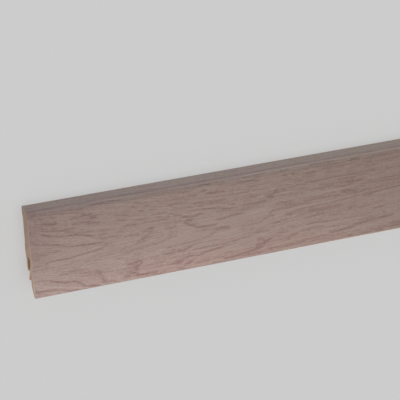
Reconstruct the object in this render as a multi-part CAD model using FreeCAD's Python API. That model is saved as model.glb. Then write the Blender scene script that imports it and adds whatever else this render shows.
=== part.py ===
"""A length of skirting board, sold cut to size and hung on clips: a fibreboard core under a thin decor foil.

It lies on its back. The wall side is down, at Z = 0. X runs along the length, and +Y points to the edge that
is the top once the board is on the wall. The origin is the middle of the footprint, on the wall plane.

Sizes in the section are given as out, the distance from the wall, and up, the height above the floor edge.
All sizes are in millimetres.
"""
import FreeCAD, Part
import math
import os

os.makedirs("parts", exist_ok=True)

# Sold size. The depth is the greatest one, at the floor edge.
LENGTH = 2400.0
HEIGHT = 58.0
DEPTH = 19.0

# The front face leans back towards the top.
FRONT_LEAN = math.radians(5.4)
TOP_NOSE_RADIUS = 2.5
FOOT_NOSE_RADIUS = 0.8

# The foil runs over the top, the front and the floor edge, and stops short of the wall.
FOIL = 0.3
FOIL_START_OUT = 0.8

# The two lands that touch the wall, with a shallow relief between them.
RELIEF_DEPTH = 1.4
TOP_LAND_UP = 52.1
MIDDLE_LAND_TOP_UP = 30.3
MIDDLE_LAND_FOOT_UP = 25.3
RELIEF_SIDE_RUN = 0.6

# The upper lip hangs over the clip. Its back is set off the wall, a ramp leads in to it, and its tip carries
# a low nose on the slot side.
LIP_BACK_OUT = 2.5
LIP_RAMP_FOOT_UP = 20.2
LIP_TIP_UP = 12.8
LIP_NOSE_OUT = 6.0
LIP_NOSE_UP = 15.0
LIP_NECK_UP = 17.2

# The clip slot leans to the front as it rises, and widens a little towards its end.
SLOT_BACK_LEAN = math.radians(7.0)
SLOT_FRONT_LEAN = math.radians(14.0)
SLOT_WIDTH = 5.3
SLOT_BACK_OUT = 5.4
SLOT_UP = 17.0
SLOT_END_BACK_UP = 24.8
SLOT_END_FRONT_UP = 26.4
SLOT_END_RADIUS = 1.4

# The lower hook is a thin slanted lip with a narrow groove in front of it.
HOOK_LEAN = math.radians(27.0)
HOOK_TIP_OUT = 5.3
HOOK_TIP_UP = 6.9
HOOK_THICKNESS = 1.8
GROOVE_FRONT_LEAN = math.radians(18.0)
GROOVE_BEND_UP = 9.6
GROOVE_END_UP = 14.2
GROOVE_END_RADIUS = 0.7

# The leg in front of the cable channel, bevelled down to a narrow foot.
LEG_BACK_OUT = 11.8
LEG_BEVEL_UP = 5.6
FOOT_BACK_OUT = 17.2

# Small edge roundings of the milled core.
EDGE_RADIUS = 0.5
LIP_RADIUS = 1.6
LIP_NOSE_RADIUS = 0.8
BEND_RADIUS = 2.0

# Where the front face would meet the floor if its edge were sharp.
FRONT_AT_FLOOR = DEPTH - FOOT_NOSE_RADIUS + FOOT_NOSE_RADIUS * (
    math.tan(FRONT_LEAN) + 1.0 / math.cos(FRONT_LEAN))


def front_out(up, inset):
    """Distance from the wall to the front face, or to a surface set back from it by inset."""
    return FRONT_AT_FLOOR - up * math.tan(FRONT_LEAN) - inset / math.cos(FRONT_LEAN)


def place(point):
    """Point of the section, given as (out, up), on the left end of the board."""
    out, up = point
    return FreeCAD.Vector(-LENGTH / 2, up - HEIGHT / 2, out)


def toward(start, end, distance):
    """Point at a distance from start on the line to end."""
    span = math.dist(start, end)
    return tuple(a + (b - a) * distance / span for a, b in zip(start, end))


def rounded_face(corners):
    """Face with the given corners, each (out, up, radius); a radius of 0 leaves the corner sharp."""
    edges = []
    ends = []
    for index, (out, up, radius) in enumerate(corners):
        corner = (out, up)
        before = corners[index - 1][:2]
        after = corners[(index + 1) % len(corners)][:2]
        if radius == 0:
            ends.append((corner, corner))
            continue
        one = toward(corner, before, 1.0)
        two = toward(corner, after, 1.0)
        half = math.asin(math.dist(one, two) / 2)
        middle = ((one[0] + two[0]) / 2, (one[1] + two[1]) / 2)
        start = toward(corner, before, radius / math.tan(half))
        end = toward(corner, after, radius / math.tan(half))
        crown = toward(corner, middle, radius / math.sin(half) - radius)
        edges.append(Part.Arc(place(start), place(crown), place(end)).toShape())
        ends.append((start, end))
    for index, (start, end) in enumerate(ends):
        edges.append(Part.LineSegment(place(ends[index - 1][1]), place(start)).toShape())
    return Part.Face(Part.Wire(Part.__sortEdges__(edges)))


def along(lean, out, up, at_up):
    """Distance from the wall, at a height, of a line that leans to the front as it rises from (out, up)."""
    return out + (at_up - up) * math.tan(lean)


def core_corners():
    """Corners of the core, from the top of the wall side round the front and back over the milled side."""
    top_up = HEIGHT - FOIL
    slot_front_out = SLOT_BACK_OUT + SLOT_WIDTH
    # The hook's back and the slot's front side meet at this height.
    hook_at_zero = along(HOOK_LEAN, HOOK_TIP_OUT, HOOK_TIP_UP, 0.0)
    slot_at_zero = along(SLOT_FRONT_LEAN, slot_front_out, SLOT_UP, 0.0)
    bend_up = (slot_at_zero - hook_at_zero) / (math.tan(HOOK_LEAN) - math.tan(SLOT_FRONT_LEAN))
    hook_inner_out = HOOK_TIP_OUT + HOOK_THICKNESS / math.cos(HOOK_LEAN)
    return [
        (0.0, top_up, EDGE_RADIUS),
        (front_out(top_up, FOIL), top_up, TOP_NOSE_RADIUS - FOIL),
        (front_out(FOIL, FOIL), FOIL, FOOT_NOSE_RADIUS - FOIL),
        (FOOT_BACK_OUT, FOIL, 0.0),
        (LEG_BACK_OUT, LEG_BEVEL_UP, EDGE_RADIUS),
        (LEG_BACK_OUT, GROOVE_BEND_UP, 0.0),
        (along(GROOVE_FRONT_LEAN, LEG_BACK_OUT, GROOVE_BEND_UP, GROOVE_END_UP), GROOVE_END_UP, GROOVE_END_RADIUS),
        (along(HOOK_LEAN, hook_inner_out, HOOK_TIP_UP, GROOVE_END_UP), GROOVE_END_UP, GROOVE_END_RADIUS),
        (hook_inner_out, HOOK_TIP_UP, EDGE_RADIUS),
        (HOOK_TIP_OUT, HOOK_TIP_UP, EDGE_RADIUS),
        (along(HOOK_LEAN, HOOK_TIP_OUT, HOOK_TIP_UP, bend_up), bend_up, BEND_RADIUS),
        (along(SLOT_FRONT_LEAN, slot_front_out, SLOT_UP, SLOT_END_FRONT_UP), SLOT_END_FRONT_UP, SLOT_END_RADIUS),
        (along(SLOT_BACK_LEAN, SLOT_BACK_OUT, SLOT_UP, SLOT_END_BACK_UP), SLOT_END_BACK_UP, SLOT_END_RADIUS),
        (along(SLOT_BACK_LEAN, SLOT_BACK_OUT, SLOT_UP, LIP_NECK_UP), LIP_NECK_UP, LIP_RADIUS),
        (LIP_NOSE_OUT, LIP_NOSE_UP, LIP_NOSE_RADIUS),
        (along(SLOT_BACK_LEAN, SLOT_BACK_OUT, SLOT_UP, LIP_TIP_UP), LIP_TIP_UP, EDGE_RADIUS),
        (LIP_BACK_OUT, LIP_TIP_UP, LIP_RADIUS),
        (LIP_BACK_OUT, LIP_RAMP_FOOT_UP, LIP_RADIUS),
        (0.0, MIDDLE_LAND_FOOT_UP, EDGE_RADIUS),
        (0.0, MIDDLE_LAND_TOP_UP, EDGE_RADIUS),
        (RELIEF_DEPTH, MIDDLE_LAND_TOP_UP + RELIEF_SIDE_RUN, EDGE_RADIUS),
        (RELIEF_DEPTH, TOP_LAND_UP - RELIEF_SIDE_RUN, EDGE_RADIUS),
        (0.0, TOP_LAND_UP, EDGE_RADIUS),
    ]


def foil_corners():
    """Corners of the foil: its outer side down the front, then its inner side against the core back up."""
    top_up = HEIGHT - FOIL
    return [
        (FOIL_START_OUT, HEIGHT, 0.0),
        (front_out(HEIGHT, 0.0), HEIGHT, TOP_NOSE_RADIUS),
        (front_out(0.0, 0.0), 0.0, FOOT_NOSE_RADIUS),
        (FOOT_BACK_OUT, 0.0, 0.0),
        (FOOT_BACK_OUT, FOIL, 0.0),
        (front_out(FOIL, FOIL), FOIL, FOOT_NOSE_RADIUS - FOIL),
        (front_out(top_up, FOIL), top_up, TOP_NOSE_RADIUS - FOIL),
        (FOIL_START_OUT, top_up, 0.0),
    ]


run = FreeCAD.Vector(LENGTH, 0, 0)
rounded_face(core_corners()).extrude(run).exportStep("parts/mdf_core.step")
rounded_face(foil_corners()).extrude(run).exportStep("parts/decor_foil.step")
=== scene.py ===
"""A length of clip-mounted skirting board, lying on its back on a pale floor.

Sizes are in metres. X runs along the board, +Y is the edge that is the top once it hangs on the wall, and Z is
the distance from the wall. The sections are written in millimetres as out, the distance from the wall, and up,
the height above the floor edge.
"""

import math

import bmesh
import bpy
import numpy as np
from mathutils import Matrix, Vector


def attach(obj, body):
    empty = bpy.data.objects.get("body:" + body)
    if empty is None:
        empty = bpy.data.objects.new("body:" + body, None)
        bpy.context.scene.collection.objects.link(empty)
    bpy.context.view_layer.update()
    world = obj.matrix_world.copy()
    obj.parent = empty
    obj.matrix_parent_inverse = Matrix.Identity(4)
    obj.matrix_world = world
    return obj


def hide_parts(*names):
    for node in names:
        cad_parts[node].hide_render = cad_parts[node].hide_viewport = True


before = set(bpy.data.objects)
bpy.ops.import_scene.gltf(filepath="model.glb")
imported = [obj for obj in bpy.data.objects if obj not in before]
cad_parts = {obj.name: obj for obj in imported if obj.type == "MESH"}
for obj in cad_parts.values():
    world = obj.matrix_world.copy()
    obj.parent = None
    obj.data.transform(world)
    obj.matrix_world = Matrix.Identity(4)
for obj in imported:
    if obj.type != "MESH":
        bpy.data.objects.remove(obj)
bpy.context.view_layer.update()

MM = 0.001

# Sold size and the shape of the section, in millimetres.
LENGTH = 2400.0
HEIGHT = 58.0
DEPTH = 19.0
FRONT_LEAN = math.radians(5.4)
TOP_NOSE_RADIUS = 2.5
FOOT_NOSE_RADIUS = 0.8
FOIL = 0.3
FOIL_START_OUT = 0.8
FOOT_BACK_OUT = 17.2
FRONT_AT_FLOOR = DEPTH - FOOT_NOSE_RADIUS + FOOT_NOSE_RADIUS * (
    math.tan(FRONT_LEAN) + 1.0 / math.cos(FRONT_LEAN))

# How far the leaning sides of the milling run out for each millimetre up, and where the hook's inner side starts.
GROOVE_RUN = math.tan(math.radians(18.0))
HOOK_RUN = math.tan(math.radians(27.0))
SLOT_FRONT_RUN = math.tan(math.radians(14.0))
SLOT_BACK_RUN = math.tan(math.radians(7.0))
HOOK_INNER_OUT = 5.3 + 1.8 / math.cos(math.radians(27.0))

# The milled wall side of the core, from the leg up to the top land, as (out, up, edge radius).
MILLED_CORNERS = [
    (11.8, 5.6, 0.5),
    (11.8, 9.6, 0.0),
    (11.8 + 4.6 * GROOVE_RUN, 14.2, 0.7),
    (HOOK_INNER_OUT + 7.3 * HOOK_RUN, 14.2, 0.7),
    (HOOK_INNER_OUT, 6.9, 0.5),
    (5.3, 6.9, 0.5),
    (11.11, 18.303, 2.0),
    (10.7 + 9.4 * SLOT_FRONT_RUN, 26.4, 1.4),
    (5.4 + 7.8 * SLOT_BACK_RUN, 24.8, 1.4),
    (5.4 + 0.2 * SLOT_BACK_RUN, 17.2, 1.6),
    (6.0, 15.0, 0.8),
    (5.4 - 4.2 * SLOT_BACK_RUN, 12.8, 0.5),
    (2.5, 12.8, 1.6),
    (2.5, 20.2, 1.6),
    (0.0, 25.3, 0.5),
    (0.0, 30.3, 0.5),
    (1.4, 30.9, 0.5),
    (1.4, 51.5, 0.5),
    (0.0, 52.1, 0.5),
]

# How finely the foil is divided: close together where the decor is seen from near, wider further along.
NEAR_RINGS = 165
NEAR_SPACING = 1.6
FAR_RINGS = 267
FAR_SPACING = 8.0
FRONT_SPACING = 0.43

# Faces that look this squarely along the board are cut ends, and bends up to this angle are shaded smooth.
END_FACING = 0.9
SMOOTH_UP_TO = math.radians(28.0)


def front_out(up, inset):
    """Distance from the wall to the leaning front face, or to a surface set back from it."""
    return FRONT_AT_FLOOR - up * math.tan(FRONT_LEAN) - inset / math.cos(FRONT_LEAN)


def rounded(corners, closed, steps):
    """Points of an outline whose corners (out, up, radius) are rounded off with short arcs."""
    points = []
    last = len(corners) - 1
    for index, (out, up, radius) in enumerate(corners):
        corner = np.array([out, up])
        if radius == 0 or (not closed and index in (0, last)):
            points.append(corner)
            continue
        before = np.array(corners[index - 1][:2]) - corner
        after = np.array(corners[(index + 1) % len(corners)][:2]) - corner
        before /= np.linalg.norm(before)
        after /= np.linalg.norm(after)
        half = math.acos(np.clip(before @ after, -1, 1)) / 2
        middle = (before + after) / np.linalg.norm(before + after)
        centre = corner + middle * radius / math.sin(half)
        start = corner + before * radius / math.tan(half) - centre
        end = corner + after * radius / math.tan(half) - centre
        turn = math.atan2(start[0] * end[1] - start[1] * end[0], start @ end)
        for k in range(steps + 1):
            angle = turn * k / steps
            c, s = math.cos(angle), math.sin(angle)
            points.append(centre + np.array([c * start[0] - s * start[1], s * start[0] + c * start[1]]))
    return np.array(points)


def divided(points, spacing):
    """The same open outline with points no further apart than spacing."""
    fine = [points[0]]
    for a, b in zip(points[:-1], points[1:]):
        count = max(1, math.ceil(np.linalg.norm(b - a) / spacing))
        fine.extend(a + (b - a) * k / count for k in range(1, count + 1))
    return np.array(fine)


def core_section():
    """Closed outline of the fibreboard core."""
    top_up = HEIGHT - FOIL
    corners = [
        (0.0, top_up, 0.5),
        (front_out(top_up, FOIL), top_up, TOP_NOSE_RADIUS - FOIL),
        (front_out(FOIL, FOIL), FOIL, FOOT_NOSE_RADIUS - FOIL),
        (FOOT_BACK_OUT, FOIL, 0.0),
    ] + MILLED_CORNERS
    return rounded(corners, True, 6)


def foil_section():
    """Closed outline of the foil, and the distance round the board of each of its points.

    That distance is 0 where the top and the front would meet if the edge between them were sharp, and it
    grows down the front.
    """
    top_up = HEIGHT - FOIL
    outer = divided(rounded([
        (FOIL_START_OUT, HEIGHT, 0.0),
        (front_out(HEIGHT, 0.0), HEIGHT, TOP_NOSE_RADIUS),
        (front_out(0.0, 0.0), 0.0, FOOT_NOSE_RADIUS),
        (FOOT_BACK_OUT, 0.0, 0.0),
    ], False, 8), FRONT_SPACING)
    inner = rounded([
        (FOOT_BACK_OUT, FOIL, 0.0),
        (front_out(FOIL, FOIL), FOIL, FOOT_NOSE_RADIUS - FOIL),
        (front_out(top_up, FOIL), top_up, TOP_NOSE_RADIUS - FOIL),
        (FOIL_START_OUT, top_up, 0.0),
    ], False, 4)
    steps = np.linalg.norm(np.diff(outer, axis=0), axis=1)
    girth = np.concatenate([[0.0], np.cumsum(steps)])
    tangent = TOP_NOSE_RADIUS * math.tan(math.radians(45) - FRONT_LEAN / 2 + FRONT_LEAN)
    nose_end_up = HEIGHT - tangent * math.cos(FRONT_LEAN)
    at_nose_end = np.argmin(np.hypot(outer[:, 1] - nose_end_up, outer[:, 0] - front_out(nose_end_up, 0.0)))
    girth += tangent - girth[at_nose_end]
    nearest = np.linalg.norm(inner[:, None] - outer[None], axis=2).argmin(axis=1)
    return np.vstack([outer, inner]), np.concatenate([girth, girth[nearest]])


# ---------------------------------------------------------------- building pieces


def feed(tree, node, feeds):
    """The same node with its inputs given, each as a value or as the socket or node that feeds it."""
    for key, value in feeds.items():
        if isinstance(value, bpy.types.Node):
            value = value.outputs[0]
        if isinstance(value, bpy.types.NodeSocket):
            tree.links.new(value, node.inputs[key])
        else:
            node.inputs[key].default_value = value
    return node


def add(tree, kind, feeds=None, **settings):
    """New node with its settings and its inputs."""
    node = tree.nodes.new(kind)
    for name, value in settings.items():
        setattr(node, name, value)
    return feed(tree, node, feeds or {})


def calc(tree, operation, *values):
    """Result of one arithmetic step."""
    return add(tree, "ShaderNodeMath", dict(enumerate(values)), operation=operation).outputs[0]


def new_group(name, kind, inputs, outputs):
    """Empty node group with its inputs (name, kind, value) and outputs (name, kind): its tree, inputs and result."""
    tree = bpy.data.node_groups.new(name, kind)
    for label, kind, value in inputs:
        socket = tree.interface.new_socket(label, in_out="INPUT", socket_type="NodeSocket" + kind)
        if value is not None:
            socket.default_value = value
    for label, kind in outputs:
        tree.interface.new_socket(label, in_out="OUTPUT", socket_type="NodeSocket" + kind)
    return tree, add(tree, "NodeGroupInput").outputs, add(tree, "NodeGroupOutput")


def new_object(name, data):
    """New object in the scene."""
    made = bpy.data.objects.new(name, data)
    bpy.context.scene.collection.objects.link(made)
    return made


def sweep_tree():
    """Geometry nodes that carry a closed section along the board in rings of two spacings."""
    tree, given, result = new_group("section swept along the board", "GeometryNodeTree", [
        ("Geometry", "Geometry", None),
        ("Start", "Float", 0.0),
        ("Near Rings", "Int", 1),
        ("Near Spacing", "Float", 0.0),
        ("Far Rings", "Int", 1),
        ("Far Spacing", "Float", 0.0),
        ("Skin", "Material", None),
        ("Cut End", "Material", None),
    ], [("Geometry", "Geometry")])
    rings = calc(tree, "ADD", given["Near Rings"], given["Far Rings"])
    line = add(tree, "GeometryNodeCurvePrimitiveLine", {"End": (1.0, 0.0, 0.0)})
    path = add(tree, "GeometryNodeResampleCurve", {"Curve": line, "Count": calc(tree, "ADD", rings, 1.0)})
    index = add(tree, "GeometryNodeInputIndex").outputs[0]
    near = calc(tree, "MINIMUM", index, given["Near Rings"])
    far = calc(tree, "MAXIMUM", calc(tree, "SUBTRACT", index, given["Near Rings"]), 0.0)
    near_run = calc(tree, "MULTIPLY_ADD", near, given["Near Spacing"], given["Start"])
    run = calc(tree, "MULTIPLY_ADD", far, given["Far Spacing"], near_run)
    place = add(tree, "ShaderNodeCombineXYZ", {"X": run})
    placed = add(tree, "GeometryNodeSetPosition", {"Geometry": path, "Position": place})
    upright = add(tree, "GeometryNodeSetCurveNormal", {"Curve": placed}, mode="Z_UP")
    section = add(tree, "GeometryNodeMeshToCurve", {"Mesh": given["Geometry"]})
    swept = add(tree, "GeometryNodeCurveToMesh", {"Curve": upright, "Profile Curve": section, "Fill Caps": True})
    facing = add(tree, "ShaderNodeSeparateXYZ", {0: add(tree, "GeometryNodeInputNormal")})
    lengthways = calc(tree, "ABSOLUTE", facing.outputs["X"])
    is_end = add(tree, "FunctionNodeCompare", {0: lengthways, 1: END_FACING}, operation="GREATER_THAN")
    real = add(tree, "GeometryNodeRealizeInstances", {0: swept})
    skinned = add(tree, "GeometryNodeSetMaterial", {"Geometry": real, "Material": given["Skin"]})
    ended = add(tree, "GeometryNodeSetMaterial", {
        "Geometry": skinned, "Selection": is_end, "Material": given["Cut End"]})
    feed(tree, result, {"Geometry": ended})
    return tree


def finish_faces(mesh):
    """Turns the faces outwards and shades them smooth over the roundings, with the edges of flat faces kept crisp."""
    shell = bmesh.new()
    shell.from_mesh(mesh)
    bmesh.ops.recalc_face_normals(shell, faces=shell.faces)
    for edge in shell.edges:
        edge.smooth = edge.is_manifold and edge.calc_face_angle() < SMOOTH_UP_TO
    for face in shell.faces:
        face.smooth = True
    shell.to_mesh(mesh)
    shell.free()


def sweep(name, section, tree, values):
    """Piece made by carrying a section (out, up) in millimetres along the board."""
    # The swept profile's own X and Y run against the board's Y and Z.
    profile = bpy.data.meshes.new(name + "_section")
    points = [(-(up - HEIGHT / 2) * MM, -out * MM, 0.0) for out, up in section]
    ring = [(k, (k + 1) % len(points)) for k in range(len(points))]
    profile.from_pydata(points, ring, [])
    holder = new_object(name + "_section", profile)
    modifier = holder.modifiers.new("sweep", "NODES")
    modifier.node_group = tree
    for socket in tree.interface.items_tree:
        if socket.in_out == "INPUT" and socket.name in values:
            modifier[socket.identifier] = values[socket.name]
    graph = bpy.context.evaluated_depsgraph_get()
    mesh = bpy.data.meshes.new_from_object(holder.evaluated_get(graph))
    holder.modifiers.remove(modifier)
    bpy.data.objects.remove(holder)
    bpy.data.meshes.remove(profile)
    finish_faces(mesh)
    mesh.name = name
    return new_object(name, mesh)


# ---------------------------------------------------------------- the printed oak figure

# How steeply the grain runs down the front as it goes along, by distance along the board and down its front.
FLOW_ALONG = [0, 20, 45, 60, 90, 110, 150, 200, 257, 500, 800, 1200, 1600, 2000, 2400]
FLOW_DOWN = [6, 20, 34, 50]
FLOW = [
    [0.10, 0.08, 0.12, 0.15, 0.12, 0.04, 0.00, -0.02, -0.02, 0.04, -0.03, 0.02, 0.05, -0.04, 0.0],
    [0.25, 0.25, 0.10, 0.08, 0.08, 0.04, 0.02, 0.00, -0.02, 0.02, -0.05, 0.04, 0.02, -0.03, 0.0],
    [-0.08, -0.13, -0.12, -0.08, -0.08, -0.08, -0.10, -0.06, -0.05, -0.03, 0.03, 0.05, -0.04, 0.02, 0.0],
    [0.12, 0.25, 0.20, 0.00, 0.00, -0.08, -0.12, -0.06, -0.05, 0.04, 0.06, -0.04, -0.05, 0.03, 0.0],
]

# The grain is laid in patches of this length that fade into each other, so that it can turn with the figure.
PATCH = 44.0

# Each patch takes its grain from elsewhere in the noise, this far along and down from the one before it.
NOISE_STEP = (731.0, 113.0)

# Where the figure seen in the photo ends and an invented one goes on.
FAR_FIGURE_START = 262.0

# The foil's points are placed on the decor in this many portions.
PORTIONS = 40

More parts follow.
